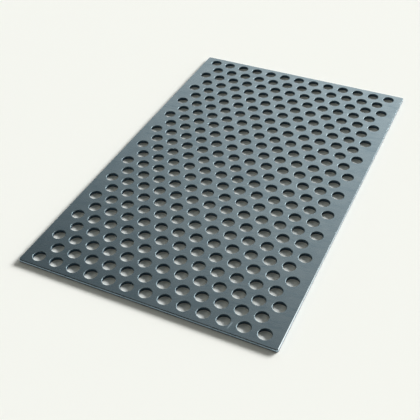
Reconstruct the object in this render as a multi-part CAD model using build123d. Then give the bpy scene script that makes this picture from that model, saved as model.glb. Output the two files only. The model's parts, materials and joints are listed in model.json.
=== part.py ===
from build123d import *
import os
from math import floor, sqrt

# A flat sheet of steel with round punched holes. The holes stand in staggered rows, so that each one
# has six neighbours at the same distance, inside a plain border with no holes.
# The sheet lies flat: its width is along X, its length along Y, its thickness along +Z, and the
# origin is the middle of its underside.

# Driving dimensions, in millimetres
sheet_width = 205.0
sheet_length = 330.0
sheet_thickness = 3.0
hole_diameter = 10.0
hole_pitch = 15.0      # from the centre of one hole to the centre of each of its neighbours
side_border = 7.0      # least solid metal between the holes and each long edge
end_border = 4.0       # least solid metal between the holes and each short edge
corner_radius = 1.5    # rounding of the four corners, seen from above
edge_break = 0.4       # chamfer that takes the sharpness off the outer edges, top and bottom

# Neighbouring rows are the height of an equilateral triangle apart
row_spacing = hole_pitch * sqrt(3) / 2


def count_that_fits(sheet_size, border, spacing):
    """Return how many holes, spacing apart, fit between two borders."""
    room_for_centres = sheet_size - 2 * border - hole_diameter
    return floor(room_for_centres / spacing) + 1


def row_of_centres(count, y):
    """Return the centres of a row of holes that is centred on the sheet's width."""
    first_x = -hole_pitch * (count - 1) / 2
    return [(first_x + hole_pitch * place, y) for place in range(count)]


def staggered_centres():
    """Return every hole's centre, from the front row to the back one.

    Long rows take turns with rows that have one hole less, which puts each hole
    of a row midway between two holes of the next.
    """
    holes_in_long_row = count_that_fits(sheet_width, side_border, hole_pitch)
    row_count = count_that_fits(sheet_length, end_border, row_spacing)
    first_y = -row_spacing * (row_count - 1) / 2
    centres = []
    for row in range(row_count):
        holes_in_row = holes_in_long_row - row % 2
        centres += row_of_centres(holes_in_row, first_y + row_spacing * row)
    return centres


def perforated_sheet():
    """Return the sheet, made as the real one is: a blank with broken edges, then punched through."""
    with BuildPart() as sheet:
        with BuildSketch():
            RectangleRounded(sheet_width, sheet_length, corner_radius)
        extrude(amount=sheet_thickness)
        chamfer(faces().filter_by(Axis.Z).edges(), edge_break)
        with BuildSketch():
            with Locations(*staggered_centres()):
                Circle(hole_diameter / 2)
        extrude(amount=sheet_thickness, mode=Mode.SUBTRACT)
    sheet.part.label = "perforated_sheet"
    return sheet.part


os.makedirs("parts", exist_ok=True)
export_step(perforated_sheet(), "parts/perforated_sheet.step")
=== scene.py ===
import json
import logging
import math
from dataclasses import dataclass
from enum import Enum
from typing import Any, Iterator, Sequence

import bpy
from mathutils import Matrix, Vector


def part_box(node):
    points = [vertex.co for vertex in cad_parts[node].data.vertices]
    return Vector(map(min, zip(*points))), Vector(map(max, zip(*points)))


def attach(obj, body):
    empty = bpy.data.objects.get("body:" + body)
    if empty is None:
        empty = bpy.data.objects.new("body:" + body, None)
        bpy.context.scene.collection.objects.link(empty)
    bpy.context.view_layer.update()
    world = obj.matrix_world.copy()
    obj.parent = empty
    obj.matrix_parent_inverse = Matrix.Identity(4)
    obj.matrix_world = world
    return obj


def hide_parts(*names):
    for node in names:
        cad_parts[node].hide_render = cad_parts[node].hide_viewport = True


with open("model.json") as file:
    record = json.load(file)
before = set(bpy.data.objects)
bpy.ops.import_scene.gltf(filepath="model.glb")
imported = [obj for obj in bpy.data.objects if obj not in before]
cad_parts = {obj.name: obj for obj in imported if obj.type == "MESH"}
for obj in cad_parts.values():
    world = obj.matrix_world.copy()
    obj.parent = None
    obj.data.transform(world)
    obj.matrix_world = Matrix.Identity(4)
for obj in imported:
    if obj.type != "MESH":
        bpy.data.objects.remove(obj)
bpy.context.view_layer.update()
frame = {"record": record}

# Lengths are in millimetres in the classes below, and become metres where a mesh, lamp or camera is
# made. The sheet lies as in the frame: X across, Y along, underside on z = 0.

MM = 0.001
NOISE_MIDDLE = 0.5
SHEET_NODE = "perforated_sheet"

Point = tuple[float, float]
Colour = tuple[float, float, float]

log = logging.getLogger("perforated_sheet")


class Skin(Enum):
    """The kinds of metal surface on the sheet, in the order of the mesh's materials."""

    ROLLED = 0
    PUNCHED = 1
    SHEARED = 2


# --------------------------------------------------------------------------------------------------
# Shader writing
# --------------------------------------------------------------------------------------------------

class Wire:
    """A socket's value in a shader, with the arithmetic of a plain number."""

    def __init__(self, shader: "Shader", socket: bpy.types.NodeSocket) -> None:
        """Wrap a socket.

        Args:
            shader: The shader that the socket belongs to.
            socket: The output socket that carries the value.
        """
        self.shader = shader
        self.socket = socket

    def _math(self, operation: str, *values: Any) -> "Wire":
        """Add a Math node.

        Args:
            operation: The name of the node's operation.
            *values: Its inputs, in order, as wires or numbers.

        Returns:
            The result.
        """
        inputs = dict(enumerate(values))
        return self.shader.node("ShaderNodeMath", {"operation": operation}, inputs, 0)

    def __add__(self, other: Any) -> "Wire":
        """Return self + other."""
        return self._math("ADD", self, other)

    def __radd__(self, other: Any) -> "Wire":
        """Return other + self."""
        return self._math("ADD", other, self)

    def __sub__(self, other: Any) -> "Wire":
        """Return self - other."""
        return self._math("SUBTRACT", self, other)

    def __rsub__(self, other: Any) -> "Wire":
        """Return other - self."""
        return self._math("SUBTRACT", other, self)

    def __mul__(self, other: Any) -> "Wire":
        """Return self * other."""
        return self._math("MULTIPLY", self, other)

    def __rmul__(self, other: Any) -> "Wire":
        """Return other * self."""
        return self._math("MULTIPLY", other, self)

    def __abs__(self) -> "Wire":
        """Return the size of self, whatever its sign."""
        return self._math("ABSOLUTE", self)

    def __pow__(self, other: Any) -> "Wire":
        """Return self to the power of other."""
        return self._math("POWER", self, other)

    def __rpow__(self, other: Any) -> "Wire":
        """Return other to the power of self."""
        return self._math("POWER", other, self)

    def at_least(self, least: float) -> "Wire":
        """Return self, or the least value where self is under it."""
        return self._math("MAXIMUM", self, least)

    def between(self, least: float, most: float) -> "Wire":
        """Return self, held from the least value to the most."""
        return self._math("MINIMUM", self.at_least(least), most)

    def step(self, low: float, high: float) -> "Wire":
        """Return a smooth rise from 0 at low to 1 at high, or a fall where high is the lesser.

        Args:
            low: The value that gives 0.
            high: The value that gives 1.

        Returns:
            The smoothed share between the two.
        """
        rising = low < high
        ends = {"Value": self, "From Min": min(low, high), "From Max": max(low, high),
                "To Min": 0.0 if rising else 1.0, "To Max": 1.0 if rising else 0.0}
        return self.shader.node("ShaderNodeMapRange", {"interpolation_type": "SMOOTHSTEP"}, ends, 0)


class Shader:
    """A node tree that is being laid out."""

    def __init__(self, tree: bpy.types.NodeTree) -> None:
        """Start with an empty tree.

        Args:
            tree: The tree of a material or of the world.
        """
        self.tree = tree
        tree.nodes.clear()

    def node(self, kind: str, settings: dict[str, Any] | None = None,
             sockets: dict[str | int, Any] | None = None, output: str | int | None = None) -> Any:
        """Add a node.

        Args:
            kind: The node's type, as Blender names it.
            settings: Its properties, set first.
            sockets: Its inputs, by name or number, each a wire or a plain value.
            output: The output to return as a wire, by name or number.

        Returns:
            The output's wire, or the node itself where no output is asked for.
        """
        made = self.tree.nodes.new(kind)
        for name, value in (settings or {}).items():
            setattr(made, name, value)
        for key, value in (sockets or {}).items():
            if isinstance(value, Wire):
                self.tree.links.new(value.socket, made.inputs[key])
            else:
                made.inputs[key].default_value = value
        return made if output is None else Wire(self, made.outputs[output])

    def mix(self, share: Any, first: Any, second: Any, blend: str = "MIX") -> Wire:
        """Blend two colours.

        Args:
            share: How much of the second shows, from 0 to 1.
            first: A colour or a wire.
            second: A colour or a wire.
            blend: The way that the second is laid over the first.

        Returns:
            The blended colour.
        """
        first, second = (value if isinstance(value, Wire) else (*value, 1.0)
                         for value in (first, second))
        settings = {"data_type": "RGBA", "blend_type": blend}
        return self.node("ShaderNodeMix", settings, {0: share, 6: first, 7: second}, 2)

    def vector(self, operation: str, *values: Any) -> Wire:
        """Add a Vector Math node.

        Args:
            operation: The name of the node's operation.
            *values: Its inputs, in order, as wires or plain vectors.

        Returns:
            The resulting vector.
        """
        inputs = dict(enumerate(values))
        return self.node("ShaderNodeVectorMath", {"operation": operation}, inputs, 0)

    def stretched(self, vector: Wire, factors: Sequence[float]) -> Wire:
        """Return a vector with each part multiplied by its own factor."""
        return self.vector("MULTIPLY", vector, factors)

    def turned(self, vector: Wire, turn: float) -> Wire:
        """Return a vector in axes that are turned left about Z, in degrees."""
        return self.node("ShaderNodeVectorRotate", {"rotation_type": "Z_AXIS"},
                         {"Vector": vector, "Angle": -math.radians(turn)}, 0)

    def scaled(self, colour: Colour, factor: Wire) -> Wire:
        """Return a colour multiplied by a factor."""
        sockets = {0: colour, "Scale": factor}
        return self.node("ShaderNodeVectorMath", {"operation": "SCALE"}, sockets, 0)

    def dot(self, first: Wire, second: Sequence[float]) -> Wire:
        """Return how far one vector points along another."""
        sockets = {0: first, 1: second}
        return self.node("ShaderNodeVectorMath", {"operation": "DOT_PRODUCT"}, sockets, "Value")

    def place_in_mm(self) -> Wire:
        """Return the place on the object, in millimetres."""
        place = self.node("ShaderNodeTexCoord", {}, {}, "Object")
        return self.stretched(place, (1 / MM,) * 3)

    def attribute(self, name: str) -> Wire:
        """Return a number that the mesh keeps at its points."""
        return self.node("ShaderNodeAttribute", {"attribute_name": name}, {}, "Fac")

    def principled(self, sockets: dict[str, Any]) -> None:
        """Lead a Principled surface with the given inputs to the material's output."""
        surface = self.node("ShaderNodeBsdfPrincipled", {}, sockets, 0)
        self.node("ShaderNodeOutputMaterial", {}, {"Surface": surface})


def new_material(name: str) -> tuple[bpy.types.Material, Shader]:
    """Make an empty node material.

    Args:
        name: Its name.

    Returns:
        The material and the shader to fill.
    """
    material = bpy.data.materials.new(name)
    material.use_nodes = True
    return material, Shader(material.node_tree)


# --------------------------------------------------------------------------------------------------
# Finishes of the steel
# --------------------------------------------------------------------------------------------------

@dataclass(frozen=True)
class Grain:
    """A noise in the metal, from 0 to 1, with its lumps per millimetre in X, Y and Z.

    Its shade says how much it darkens the colour, its haze how much it dulls the metal, and its relief
    how much it raises it.
    """

    lumps: tuple[float, float, float]
    layers: float
    layer_strength: float
    shade: float = 0.0
    haze: float = 0.0
    relief: float = 0.0

    def at(self, place: Wire) -> Wire:
        """Return the noise at a place in millimetres."""
        shader = place.shader
        sockets = {"Vector": shader.stretched(place, self.lumps), "Scale": 1.0,
                   "Detail": self.layers, "Roughness": self.layer_strength}
        return shader.node("ShaderNodeTexNoise", {}, sockets, 0)

    def swing(self, place: Wire) -> Wire:
        """Return the noise at a place less its middle, so that it varies round 0."""
        return self.at(place) - NOISE_MIDDLE


@dataclass(frozen=True)
class Bump:
    """How strongly a finish's relief turns its normals, and how deep it is, in millimetres."""

    strength: float
    depth: float

    def normal(self, height: Wire) -> Wire:
        """Return the normal that the relief's height gives."""
        sockets = {"Strength": self.strength, "Distance": self.depth * MM, "Height": height}
        return height.shader.node("ShaderNodeBump", {}, sockets, 0)


@dataclass(frozen=True)
class Scratch:
    """A short straight scratch on the upper face, in millimetres, which fades out round its core."""

    middle: Point
    turn: float
    length: float
    core_length: float
    width: float
    core_width: float
    shine: float = 0.45
    haze: float = 0.15
    relief: float = -0.5

    def mask(self, place: Wire) -> Wire:
        """Return where the scratch is, from 0 to 1.

        Args:
            place: The place on the sheet, in millimetres.

        Returns:
            The share of scratched metal.
        """
        shader = place.shader
        along = (math.cos(math.radians(self.turn)), math.sin(math.radians(self.turn)), 0.0)
        across = (-along[1], along[0], 0.0)
        away = shader.vector("SUBTRACT", place, (*self.middle, 0.0))
        lengthwise = abs(shader.dot(away, along)).step(self.length / 2, self.core_length / 2)
        sideways = abs(shader.dot(away, across)).step(self.width / 2, self.core_width / 2)
        return lengthwise * sideways


@dataclass(frozen=True)
class RolledFinish:
    """The sheet's two faces: mill-rolled steel with faint clouds, a brushed grain and marks.

    Wear and wiping start to show at the lower of their two noise levels and are full at the higher.
    Wear makes the streaks and the wiping stronger.
    """

    colour: Colour = (0.300, 0.371, 0.398)
    cloudy: Colour = (0.205, 0.280, 0.318)
    bare: Colour = (0.66, 0.78, 0.84)
    least_shade: float = 0.3
    roughness: float = 0.27
    lip_roughness: float = 0.55
    wear: Grain = Grain((0.02, 0.02, 0.02), 3.0, 0.55)
    worn: tuple[float, float] = (0.42, 0.62)
    mottle: Grain = Grain((0.105, 0.15, 0.15), 3.0, 0.6, shade=1.4, haze=0.06)
    streaks: Grain = Grain((0.02, 0.45, 1.0), 2.0, 0.5, shade=0.4, haze=0.05, relief=1.0)
    worn_streaks: float = 0.8
    brushing: Grain = Grain((0.03, 1.6, 1.0), 1.0, 0.5, shade=0.3, relief=0.5)
    wiping: Grain = Grain((0.07, 0.38, 1.0), 3.0, 0.65, shade=0.7, haze=0.03)
    wiped: tuple[float, float] = (0.52, 0.72)
    wiping_turn: float = 26.0
    least_wiping: float = 0.35
    scratch: Scratch = Scratch((65.8, -158.4), 80.0, 8.0, 3.2, 1.4, 0.28)
    bump: Bump = Bump(0.08, 0.02)

    def material(self) -> bpy.types.Material:
        """Return the finish as a material."""
        material, shader = new_material("rolled_steel")
        place = shader.place_in_mm()
        mottle, streaks, brushing = (grain.swing(place)
                                     for grain in (self.mottle, self.streaks, self.brushing))
        worn = self.wear.at(place).step(*self.worn)
        wiped = self.wiping.at(shader.turned(place, self.wiping_turn)).step(*self.wiped)
        smears = wiped * (self.least_wiping + worn * (1 - self.least_wiping))
        marks = self.scratch.mask(place)
        shade = (mottle * self.mottle.shade + streaks * (self.streaks.shade + worn * self.worn_streaks)
                 + brushing * self.brushing.shade + smears * self.wiping.shade + self.least_shade)
        base = shader.mix(shade.between(0.0, 1.0), self.colour, self.cloudy)
        base = shader.mix(marks * self.scratch.shine, base, self.bare)
        roughness = (self.roughness + mottle * self.mottle.haze + streaks * self.streaks.haze
                     + smears * self.wiping.haze + marks * self.scratch.haze
                     + shader.attribute("rim") * (self.lip_roughness - self.roughness))
        height = (brushing * self.brushing.relief + streaks * self.streaks.relief
                  + marks * self.scratch.relief)
        shader.principled({"Base Color": base, "Metallic": 1.0, "Roughness": roughness,
                           "Normal": self.bump.normal(height)})
        return material


@dataclass(frozen=True)
class PunchedFinish:
    """The holes' walls: a smooth band where the punch sheared, and a grainy break below it, both near
    black: partly the oily punched steel's own tone, partly painted shade.
    """

    # Both wall colours are kept far under bare steel: partly the punched metal's own dull, oily tone,
    # partly painted shade for the far walls, which face away from the lamp.
    colour: Colour = (0.08, 0.13, 0.18)
    broken: Colour = (0.10, 0.14, 0.17)
    roughness: float = 0.45
    broken_haze: float = 0.15
    least_broken: float = 0.4
    tears: Grain = Grain((1.2, 1.2, 0.4), 3.0, 0.6, haze=0.1)
    sheared_relief: float = 0.2
    bump: Bump = Bump(0.3, 0.04)

    def material(self) -> bpy.types.Material:
        """Return the finish as a material."""
        material, shader = new_material("punched_steel")
        tears = self.tears.at(shader.place_in_mm())
        broken = shader.attribute("torn")
        share = (broken * (self.least_broken + tears)).between(0.0, 1.0)
        base = shader.mix(share, self.colour, self.broken)
        roughness = (self.roughness + broken * self.broken_haze
                     + (tears - NOISE_MIDDLE) * self.tears.haze)
        height = tears * (self.sheared_relief + broken * (1 - self.sheared_relief))
        shader.principled({"Base Color": base, "Metallic": 1.0, "Roughness": roughness,
                           "Normal": self.bump.normal(height)})
        return material


@dataclass(frozen=True)
class ShearedFinish:
    """The outer edges: a smooth chamfer, a matt sheared band, and under it a near-black break that is
    partly the broken metal's dull tone and partly painted contact shade.
    """

    chamfered: Colour = (0.41, 0.46, 0.475)
    bright: Colour = (0.42, 0.56, 0.66)
    # Painted shade: the break's near-black colour stands partly for the contact shadow where the edge
    # meets the floor, partly for the dull broken metal.
    break_and_painted_shade: Colour = (0.02, 0.03, 0.045)
    chamfer_roughness: float = 0.10
    roughness: float = 0.5
    metallic: float = 0.5
    lines: Grain = Grain((0.5, 0.5, 0.1), 2.0, 0.5, shade=0.3, haze=0.1)
    bump: Bump = Bump(0.1, 0.03)

    def material(self) -> bpy.types.Material:
        """Return the finish as a material."""
        material, shader = new_material("sheared_steel")
        lines = self.lines.swing(shader.place_in_mm())
        broken = shader.attribute("torn") + lines * self.lines.shade
        chamfer = shader.attribute("rim")
        base = shader.mix(broken.between(0.0, 1.0), self.bright, self.break_and_painted_shade)
        base = shader.mix(chamfer, base, self.chamfered)
        roughness = (self.roughness + lines * self.lines.haze
                     + chamfer * (self.chamfer_roughness - self.roughness))
        metallic = self.metallic + chamfer * (1 - self.metallic)
        shader.principled({"Base Color": base, "Metallic": metallic, "Roughness": roughness,
                           "Normal": self.bump.normal(lines)})
        return material


# --------------------------------------------------------------------------------------------------
# Shape of the sheet
# --------------------------------------------------------------------------------------------------

@dataclass(frozen=True)
class Outline:
    """The sheet's plan: a rectangle with small round corners, centred on the origin."""

    width: float
    length: float
    corner_radius: float = 1.5
    corner_parts: int = 5

    @property
    def arc_centre(self) -> Point:
        """Return the centre of the back right corner's arc."""
        return self.width / 2 - self.corner_radius, self.length / 2 - self.corner_radius

    def points(self, inset: float) -> list[Point]:
        """Walk once round the plan, turning left.

        Args:
            inset: How far inside the outline to walk.

        Returns:
            The corner points, with each round corner as a short arc.
        """
        across, along = self.arc_centre
        radius = self.corner_radius - inset
        walked = []
        for quarter, (side_x, side_y) in enumerate(((1, 1), (-1, 1), (-1, -1), (1, -1))):
            for part in range(self.corner_parts + 1):
                turn = (quarter + part / self.corner_parts) * math.pi / 2
                walked.append((side_x * across + radius * math.cos(turn),
                               side_y * along + radius * math.sin(turn)))
        return walked

    def outward(self, point: Point) -> Point:
        """Return the direction straight out of the plan at a point on or near its outline.

        Args:
            point: A point on the outline, or on a line inset from it.

        Returns:
            The direction, of length 1.
        """
        over_x, over_y = (max(abs(here) - centre, 0.0) for here, centre in zip(point, self.arc_centre))
        size = math.hypot(over_x, over_y)
        return math.copysign(over_x / size, point[0]), math.copysign(over_y / size, point[1])


@dataclass(frozen=True)
class HoleField:
    """The staggered rows of round holes."""

    radius: float
    pitch: float
    half_across: float
    half_along: float

    @classmethod
    def from_record(cls, record: dict[str, Any]) -> "HoleField":
        """Read the field from the mounts that state its corner holes and its end holes.

        Args:
            record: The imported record.

        Returns:
            The field.
        """
        sizes = {mount["name"]: mount["dims"] for mount in record["mounts"]}
        corners, ends = sizes["corner_holes"], sizes["end_holes"]
        pitches_between_end_holes = 4
        return cls(radius=corners["hole_r_mm"],
                   pitch=ends["spacing_x_mm"] / pitches_between_end_holes,
                   half_across=corners["spacing_x_mm"] / 2,
                   half_along=corners["spacing_y_mm"] / 2)

    def centres(self) -> Iterator[Point]:
        """Yield each hole's centre: long rows take turns with rows that have one hole less."""
        row_spacing = self.pitch * math.sqrt(3) / 2
        gaps_between_rows = round(2 * self.half_along / row_spacing)
        holes_in_long_row = round(2 * self.half_across / self.pitch) + 1
        for row in range(gaps_between_rows + 1):
            holes = holes_in_long_row - row % 2
            for place in range(holes):
                yield (place - (holes - 1) / 2) * self.pitch, row * row_spacing - self.half_along


@dataclass(frozen=True)
class Station:
    """One line of a rounded or cut edge, seen in section.

    It lies so far out from the wall into the metal, at a height, and its surface leans from straight
    up, in radians. Rim and torn are what a point of the mesh keeps of them.
    """

    out: float
    height: float
    lean: float
    rim: float = 0.0
    torn: float = 0.0


def rolled_over(width: float, depth: float, top: float, parts: int) -> list[Station]:
    """Make the rounded lip where a face turns down into a wall, as a quarter of an ellipse.

    The lip is burnished most half way down, and still a little where it meets the wall.

    Args:
        width: How far from the wall the lip starts.
        depth: How far below the face it ends.
        top: The face's height.
        parts: How many flats stand for the curve.

    Returns:
        The stations after the face's own, down to the wall.
    """
    stations = []
    for part in range(1, parts):
        turn = part / parts * math.pi / 2
        lean = math.atan2(depth * math.sin(turn), width * math.cos(turn))
        stations.append(Station(width * (1 - math.sin(turn)), top - depth * (1 - math.cos(turn)), lean,
                                rim=math.sqrt(math.sin(turn * 2))))
    rim_at_wall = 0.3
    stations.append(Station(0.0, top - depth, math.pi / 2, rim=rim_at_wall))
    return stations


class SheetMesh:
    """Collects the sheet's points and faces, and keeps shared points single.

    Points are one where they agree in whole steps of a fine grid.
    """

    steps_per_mm = 1000

    def __init__(self) -> None:
        """Start empty."""
        self.places: dict[tuple[int, ...], int] = {}
        self.points: list[tuple[float, float, float]] = []
        self.normals: list[Vector] = []
        self.rims: list[float] = []
        self.torn: list[float] = []
        self.faces: list[tuple[int, ...]] = []
        self.skins: list[Skin] = []

    def point(self, x: float, y: float, z: float, normal: Vector, rim: float = 0.0,
              torn: float = 0.0) -> int:
        """Add a point, or find the one that is already there.

        Args:
            x: Its place across, in millimetres.
            y: Its place along.
            z: Its height.
            normal: The direction straight out of the surface there.
            rim: How far the point is on a hole's burnished lip or the edge's chamfer, from 0 to 1.
            torn: How far the point is on metal that broke rather than was cut, from 0 to 1.

        Returns:
            The point's number.
        """
        key = tuple(round(value * self.steps_per_mm) for value in (x, y, z))
        if key not in self.places:
            self.places[key] = len(self.points)
            self.points.append((x, y, z))
            self.normals.append(normal.normalized())
            self.rims.append(rim)
            self.torn.append(torn)
        return self.places[key]

    def face(self, corners: Sequence[int], skin: Skin, turned: bool = False) -> None:
        """Add a face.

        Args:
            corners: Its points' numbers, turning left seen from outside.
            skin: Its kind of surface.
            turned: True where the points turn right instead.
        """
        self.faces.append(tuple(reversed(corners)) if turned else tuple(corners))
        self.skins.append(skin)

    def band(self, first: Sequence[int], second: Sequence[int], skin: Skin,
             turned: bool = False) -> None:
        """Join two closed rings of as many points with a band of faces.

        Args:
            first: The ring that lies to the left of the walk, seen from outside.
            second: The other ring.
            skin: The band's kind of surface.
            turned: True where the rings are the other way round.
        """
        count = len(first)
        for here in range(count):
            after = (here + 1) % count
            self.face((first[here], second[here], second[after], first[after]), skin, turned)

    def to_object(self, name: str, materials: Sequence[bpy.types.Material]) -> bpy.types.Object:
        """Make the Blender object.

        Args:
            name: Its name.
            materials: One material for each kind of surface, in order.

        Returns:
            The object, in the scene.
        """
        mesh = bpy.data.meshes.new(name)
        mesh.from_pydata([Vector(point) * MM for point in self.points], [], self.faces)
        for material in materials:
            mesh.materials.append(material)
        mesh.polygons.foreach_set("material_index", [skin.value for skin in self.skins])
        for label, values in (("rim", self.rims), ("torn", self.torn)):
            mesh.attributes.new(label, "FLOAT", "POINT").data.foreach_set("value", values)
        mesh.polygons.foreach_set("use_smooth", [True] * len(self.faces))
        mesh.normals_split_custom_set_from_vertices(self.normals)
        mesh.validate()
        made = bpy.data.objects.new(name, mesh)
        bpy.context.scene.collection.objects.link(made)
        return made


def clipped(polygon: list[Point], middle: Point, away: Point) -> list[Point]:
    """Cut a convex polygon with a straight line and keep the near part.

    Args:
        polygon: Its corners, in order.
        middle: A point on the line.
        away: The direction across the line, to the part that is cut off.

    Returns:
        The corners that are left, with the cut's two ends.
    """
    def beyond(point: Point) -> float:
        """Return how far a point lies past the line."""
        return (point[0] - middle[0]) * away[0] + (point[1] - middle[1]) * away[1]

    kept = []
    for place, point in enumerate(polygon):
        previous = polygon[place - 1]
        here, before = beyond(point), beyond(previous)
        if (here > 0) != (before > 0):
            share = before / (before - here)
            kept.append((previous[0] + (point[0] - previous[0]) * share,
                         previous[1] + (point[1] - previous[1]) * share))
        if here <= 0:
            kept.append(point)
    return kept


@dataclass
class PerforatedSheet:
    """The sheet: two flat faces, punched holes with rolled-over lips, and sheared outer edges.

    The burnished and sheared shares are of the thickness, from the upper face down. Neighbours that
    bound a hole's cell are looked for within a reach in pitches.
    """

    outline: Outline
    field: HoleField
    thickness: float
    hole_parts: int = 36
    lip_width: float = 0.25
    lip_depth: float = 0.22
    lip_parts: int = 3
    burnished_share: float = 0.45
    break_flare: float = 0.2
    burr_round: float = 0.12
    edge_chamfer: float = 0.4
    edge_blend: float = 0.02
    sheared_share: float = 0.61
    reach_of_neighbours: float = 2.1

    @property
    def border_inset(self) -> float:
        """Return how far inside the outline the flat faces end."""
        return self.edge_chamfer + self.edge_blend

    def build(self) -> SheetMesh:
        """Return the sheet's mesh."""
        mesh = SheetMesh()
        centres = list(self.field.centres())
        self._face(mesh, centres, self.thickness, self.field.radius + self.lip_width)
        self._face(mesh, centres, 0.0, self.field.radius + self.break_flare + self.burr_round)
        for centre in centres:
            self._hole(mesh, centre)
        self._outer_edge(mesh)
        log.info("sheet: %d holes, %d points, %d faces",
                 len(centres), len(mesh.points), len(mesh.faces))
        return mesh

    def _ring(self, mesh: SheetMesh, centre: Point, station: Station) -> list[int]:
        """Add a ring of points round a hole.

        Args:
            mesh: The mesh to add to.
            centre: The hole's centre.
            station: The ring's place outside the hole's wall, its height and its surface's lean.

        Returns:
            The points' numbers, turning left seen from above.
        """
        radius = self.field.radius + station.out
        ring = []
        for part in range(self.hole_parts):
            turn = 2 * math.pi * part / self.hole_parts
            side, ahead = math.cos(turn), math.sin(turn)
            inward = -math.sin(station.lean)
            normal = Vector((side * inward, ahead * inward, math.cos(station.lean)))
            ring.append(mesh.point(centre[0] + radius * side, centre[1] + radius * ahead,
                                   station.height, normal, station.rim, station.torn))
        return ring

    def _hole_stations(self) -> list[Station]:
        """Return a hole's section, from the upper face down to the underside."""
        wall_end = self.thickness * (1 - self.burnished_share)
        return [
            Station(self.lip_width, self.thickness, 0.0),
            *rolled_over(self.lip_width, self.lip_depth, self.thickness, self.lip_parts),
            Station(0.0, wall_end, math.pi / 2),
            Station(self.break_flare, self.burr_round, math.pi / 2, torn=1.0),
            Station(self.break_flare + self.burr_round, 0.0, math.pi),
        ]

    def _hole(self, mesh: SheetMesh, centre: Point) -> None:
        """Add a hole's lip and wall.

        Args:
            mesh: The mesh to add to.
            centre: The hole's centre.
        """
        rings = [self._ring(mesh, centre, station) for station in self._hole_stations()]
        for part, (upper, lower) in enumerate(zip(rings, rings[1:])):
            skin = Skin.ROLLED if part < self.lip_parts else Skin.PUNCHED
            mesh.band(upper, lower, skin, turned=True)

    def _cell(self, centre: Point, centres: Sequence[Point], border: list[Point]) -> list[Point]:
        """Return the part of the sheet that lies nearer to one hole than to any other.

        Args:
            centre: The hole's centre.
            centres: All the holes' centres.
            border: The flat face's outline.

        Returns:
            The part's corners, turning left.
        """
        cell = border
        reach = self.reach_of_neighbours * self.field.pitch
        for other in centres:
            step = (other[0] - centre[0], other[1] - centre[1])
            if other != centre and math.hypot(*step) < reach:
                middle = ((centre[0] + other[0]) / 2, (centre[1] + other[1]) / 2)
                cell = clipped(cell, middle, step)
        return cell

    def _face(self, mesh: SheetMesh, centres: Sequence[Point], height: float, radius: float) -> None:
        """Add a flat face with its holes: round each hole, a fan of triangles out to its cell.

        Args:
            mesh: The mesh to add to.
            centres: The holes' centres.
            height: The face's height.
            radius: The radius at which the holes' lips start.
        """
        up = height > 0
        normal = Vector((0, 0, 1 if up else -1))
        border = self.outline.points(self.border_inset)
        ring_station = Station(radius - self.field.radius, height, 0.0 if up else math.pi)
        for centre in centres:
            ring = self._ring(mesh, centre, ring_station)
            cell = self._cell(centre, centres, border)
            spokes = sorted((self._turn(centre, corner), corner) for corner in cell)
            rim = [mesh.point(*corner, height, normal) for _, corner in spokes]
            turns = [turn for turn, _ in spokes]
            self._fan(mesh, ring, rim, turns, turned=not up)

    @staticmethod
    def _turn(centre: Point, corner: Point) -> float:
        """Return the direction from a centre to a corner, from 0 up to a full turn."""
        return math.atan2(corner[1] - centre[1], corner[0] - centre[0]) % (2 * math.pi)

    def _fan(self, mesh: SheetMesh, ring: Sequence[int], rim: Sequence[int], turns: Sequence[float],
             turned: bool) -> None:
        """Fill the space between a hole's ring and its cell's corners with triangles.

        Args:
            mesh: The mesh to add to.
            ring: The ring's points, evenly spaced from turn 0.
            rim: The cell's corners, in order of turn.
            turns: The corners' turns.
            turned: True for the underside.
        """
        part = 2 * math.pi / len(ring)

        def nearest(place: int) -> int:
            """Return the number of the corner that faces the middle of one side of the ring."""
            middle = (place + 0.5) * part
            return max(range(len(turns)), key=lambda number: math.cos(turns[number] - middle))

        corner = nearest(-1)
        for place, here in enumerate(ring):
            while corner != nearest(place):
                following = (corner + 1) % len(rim)
                mesh.face((here, rim[corner], rim[following]), Skin.ROLLED, turned)
                corner = following
            mesh.face((here, rim[corner], ring[(place + 1) % len(ring)]), Skin.ROLLED, turned)

    def _edge_stations(self) -> list[Station]:
        """Return the outer edge's section, from the upper face down to the underside."""
        flat, wall, top = math.pi / 4, math.pi / 2, self.thickness
        chamfer, blend = self.edge_chamfer, self.edge_blend
        sheared = top * (1 - self.sheared_share)
        return [
            Station(chamfer + blend, top, 0.0),
            Station(chamfer, top - blend / 2, flat, rim=1.0),
            Station(blend / 2, top - chamfer, flat, rim=1.0),
            Station(0.0, top - chamfer - blend, wall),
            Station(0.0, sheared + blend / 2, wall),
            Station(0.0, sheared - blend / 2, wall, torn=1.0),
            Station(0.0, chamfer + blend, wall, torn=1.0),
            Station(blend / 2, chamfer, math.pi - flat, torn=1.0),
            Station(chamfer, blend / 2, math.pi - flat, torn=1.0),
            Station(chamfer + blend, 0.0, math.pi, torn=1.0),
        ]

    def _outer_edge(self, mesh: SheetMesh) -> None:
        """Add the sheared edge all round, starting from the points of the flat faces' borders.

        The narrow turn from the upper face into the chamfer still has the face's finish.

        Args:
            mesh: The mesh to add to.
        """
        walk = self._border_walk(mesh)
        rings = []
        for station in self._edge_stations():
            shift = self.border_inset - station.out
            sideways = math.sin(station.lean)
            ring = []
            for x, y in walk:
                out_x, out_y = self.outline.outward((x, y))
                normal = Vector((out_x * sideways, out_y * sideways, math.cos(station.lean)))
                ring.append(mesh.point(x + out_x * shift, y + out_y * shift, station.height, normal,
                                       station.rim, station.torn))
            rings.append(ring)
        for part, (upper, lower) in enumerate(zip(rings, rings[1:])):
            mesh.band(upper, lower, Skin.SHEARED if part else Skin.ROLLED)

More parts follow.
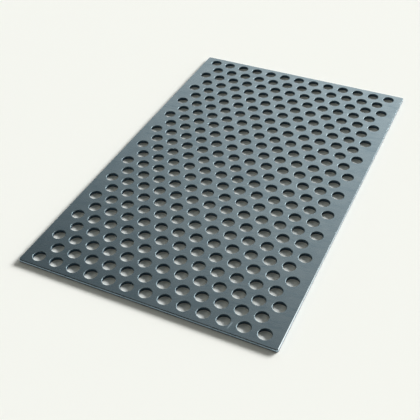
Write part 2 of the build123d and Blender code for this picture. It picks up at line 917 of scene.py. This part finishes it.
    def _border_walk(self, mesh: SheetMesh) -> list[Point]:
        """Find the points on the upper face's border, in order.

        Args:
            mesh: The mesh with its upper face made.

        Returns:
            The points' places, turning left round the sheet.
        """
        across = self.outline.width / 2 - self.border_inset
        along = self.outline.length / 2 - self.border_inset
        corner_x, corner_y = self.outline.arc_centre
        near = 1 / mesh.steps_per_mm
        found = []
        for x, y, z in mesh.points:
            on_side = abs(abs(x) - across) < near or abs(abs(y) - along) < near
            on_corner = abs(x) > corner_x - near and abs(y) > corner_y - near
            if (on_side or on_corner) and abs(z - self.thickness) < near:
                found.append((x, y))
        return sorted(found, key=lambda place: math.atan2(place[1], place[0]))

    def dress(self) -> list[bpy.types.Material]:
        """Return the sheet's materials, one for each kind of surface."""
        return [RolledFinish().material(), PunchedFinish().material(), ShearedFinish().material()]

    def place(self) -> bpy.types.Object:
        """Make the sheet's object and give it the node's place in the frame.

        Returns:
            The object.
        """
        made = self.build().to_object("sheet", self.dress())
        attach(made, "root")
        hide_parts(SHEET_NODE)
        return made


# --------------------------------------------------------------------------------------------------
# Studio
# --------------------------------------------------------------------------------------------------

@dataclass(frozen=True)
class StudioFloor:
    """The pale floor that the sheet lies on."""

    reach: float = 4000.0
    colour: Colour = (0.90, 0.905, 0.87)
    roughness: float = 0.9

    def place(self) -> bpy.types.Object:
        """Make the floor.

        Returns:
            The object.
        """
        reach = self.reach * MM
        mesh = bpy.data.meshes.new("floor")
        corners = [(-reach, -reach, 0), (reach, -reach, 0), (reach, reach, 0), (-reach, reach, 0)]
        mesh.from_pydata(corners, [], [(0, 1, 2, 3)])
        material, shader = new_material("pale_floor")
        shader.principled({"Base Color": (*self.colour, 1.0), "Roughness": self.roughness,
                           "Specular IOR Level": 0.0})
        mesh.materials.append(material)
        made = bpy.data.objects.new("floor", mesh)
        bpy.context.scene.collection.objects.link(made)
        return made


def toward(turn: float, rise: float) -> Vector:
    """Return the direction at a turn clockwise from the back and a rise, both in degrees."""
    turn, rise = math.radians(turn), math.radians(rise)
    level = math.cos(rise)
    return Vector((math.sin(turn) * level, math.cos(turn) * level, math.sin(rise)))


@dataclass(frozen=True)
class Softbox:
    """A soft lamp with a rectangular front, aimed at the sheet, and its power in watts."""

    name: str
    turn: float
    rise: float
    distance: float
    width: float
    height: float
    power: float
    colour: Colour

    def place(self) -> bpy.types.Object:
        """Make the lamp.

        Returns:
            The lamp's object.
        """
        light = bpy.data.lights.new(self.name, "AREA")
        light.shape = "RECTANGLE"
        light.size, light.size_y = self.width * MM, self.height * MM
        light.energy = self.power
        light.color = self.colour
        away = toward(self.turn, self.rise)
        lamp = bpy.data.objects.new(self.name, light)
        lamp.location = away * self.distance * MM
        lamp.rotation_euler = away.to_track_quat("Z", "Y").to_euler()
        bpy.context.scene.collection.objects.link(lamp)
        return lamp


@dataclass(frozen=True)
class Glow:
    """A soft bright patch on the room's walls, which is smaller the greater its narrowing is."""

    turn: float
    rise: float
    narrowing: float
    colour: Colour


@dataclass(frozen=True)
class StudioRoom:
    """The room round the sheet: pale walls low down, a lit back wall, and a dim ceiling.

    Seen straight, it is an even pale backdrop, which the metal mirrors too where the walls are.
    """

    backdrop_colour: Colour = (0.90, 0.91, 0.885)
    wall_colour: Colour = (0.92, 0.85, 0.78)
    wall_fade: tuple[float, float] = (4.0, 17.0)
    back_colour: Colour = (1.0, 1.0, 1.0)
    back_fade: tuple[float, float] = (25.0, 45.0)
    back_narrowing: float = 8.0
    glows: tuple[Glow, ...] = (Glow(-35.0, 30.0, 12.0, (0.19, 0.215, 0.225)),
                               Glow(5.0, 35.0, 20.0, (0.24, 0.24, 0.24)),
                               Glow(-5.0, 28.0, 30.0, (0.24, 0.24, 0.24)),
                               Glow(-15.0, 45.0, 12.0, (0.05, 0.065, 0.08)),
                               Glow(-12.0, 41.0, 30.0, (0.10, 0.10, 0.10)),
                               Glow(-21.0, 41.0, 100.0, (0.36, 0.32, 0.29)),
                               Glow(57.0, 16.0, 60.0, (4.8, 4.55, 4.4)),
                               Glow(95.0, 72.0, 8.0, (0.28, 0.29, 0.255)),
                               Glow(160.0, 38.0, 16.0, (0.21, 0.20, 0.19)))

    def place(self) -> None:
        """Fill the scene's world."""
        world = bpy.data.worlds.new("studio")
        world.use_nodes = True
        bpy.context.scene.world = world
        shader = Shader(world.node_tree)
        direction = shader.node("ShaderNodeTexCoord", {}, {}, "Generated")
        height = shader.dot(direction, (0.0, 0.0, 1.0))
        level = shader.vector("NORMALIZE", shader.stretched(direction, (1.0, 1.0, 0.0)))
        backward = (shader.dot(level, (0.0, 1.0, 0.0)) * 0.5 + 0.5) ** self.back_narrowing
        light = shader.scaled(self.back_colour, backward * self._faded(height, self.back_fade))
        light = shader.mix(self._faded(height, self.wall_fade), light, self.wall_colour, "LIGHTEN")
        for glow in self.glows:
            facing = shader.dot(direction, toward(glow.turn, glow.rise)).at_least(0.0)
            light = shader.vector("ADD", light, shader.scaled(glow.colour, facing ** glow.narrowing))
        camera, glossy, passed = (shader.node("ShaderNodeLightPath", {}, {}, f"Is {kind} Ray")
                                  for kind in ("Camera", "Glossy", "Transmission"))
        backdrop = camera + (glossy + passed) * self._faded(height, self.wall_fade)
        light = shader.mix(backdrop, light, self.backdrop_colour)
        lit = shader.node("ShaderNodeBackground", {}, {"Color": light, "Strength": 1.0}, 0)
        shader.node("ShaderNodeOutputWorld", {}, {"Surface": lit})

    @staticmethod
    def _faded(height: Wire, fade: tuple[float, float]) -> Wire:
        """Return 1 below a fade's first rise, in degrees, and 0 above its second."""
        full, none = (math.sin(math.radians(rise)) for rise in fade)
        return height.step(none, full)


@dataclass(frozen=True)
class StudioLight:
    """The light: a wide softbox low behind the sheet, and a weak one to its left.

    Both stand far off, so that the floor is lit evenly.
    """

    back: Softbox = Softbox("back_softbox", turn=31.0, rise=23.2, distance=60000.0, width=31200.0,
                            height=14400.0, power=68500.0, colour=(0.995, 1.0, 0.99))
    left: Softbox = Softbox("left_softbox", turn=-115.0, rise=28.0, distance=60000.0, width=16800.0,
                            height=14400.0, power=4300.0, colour=(0.98, 1.0, 0.88))
    room: StudioRoom = StudioRoom()

    def place(self) -> list[bpy.types.Object]:
        """Add the room and the lamps.

        Returns:
            The lamps' objects.
        """
        self.room.place()
        return [self.back.place(), self.left.place()]


@dataclass(frozen=True)
class StudioCamera:
    """The camera, aimed at a point on the sheet's upper face.

    Its turn is anticlockwise from the front, its roll is to the left, and its clipping is in metres.
    """

    turn: float = 26.47
    rise: float = 40.70
    roll: float = -1.73
    distance: float = 566.7
    aim: tuple[float, float, float] = (3.39, -57.62, 3.0)
    lens: float = 61.50
    sensor: float = 36.0
    clipping: tuple[float, float] = (0.01, 50.0)

    def place(self) -> bpy.types.Object:
        """Add the camera and make it the scene's.

        Returns:
            The camera's object.
        """
        camera = bpy.data.cameras.new("camera")
        camera.lens = self.lens
        camera.sensor_width = self.sensor
        camera.clip_start, camera.clip_end = self.clipping
        away = toward(180.0 - self.turn, self.rise)
        level = away.to_track_quat("Z", "Y").to_matrix().to_4x4()
        roll = Matrix.Rotation(math.radians(self.roll), 4, "Z")
        made = bpy.data.objects.new("camera", camera)
        made.matrix_world = (Matrix.Translation((Vector(self.aim) + away * self.distance) * MM)
                             @ level @ roll)
        bpy.context.scene.collection.objects.link(made)
        bpy.context.scene.camera = made
        return made


def main() -> None:
    """Build the sheet, its stage, its light and the camera."""
    logging.basicConfig(level=logging.INFO)
    low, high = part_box(SHEET_NODE)
    width, length, thickness = (high - low) / MM
    field = HoleField.from_record(frame["record"])
    sheet = PerforatedSheet(Outline(width, length), field, thickness)
    for made in (sheet.place(), StudioFloor().place(), *StudioLight().place(), StudioCamera().place()):
        log.info("placed %s", made.name)
    bpy.context.scene.view_settings.view_transform = "Standard"


if __name__ == "__main__":
    main()
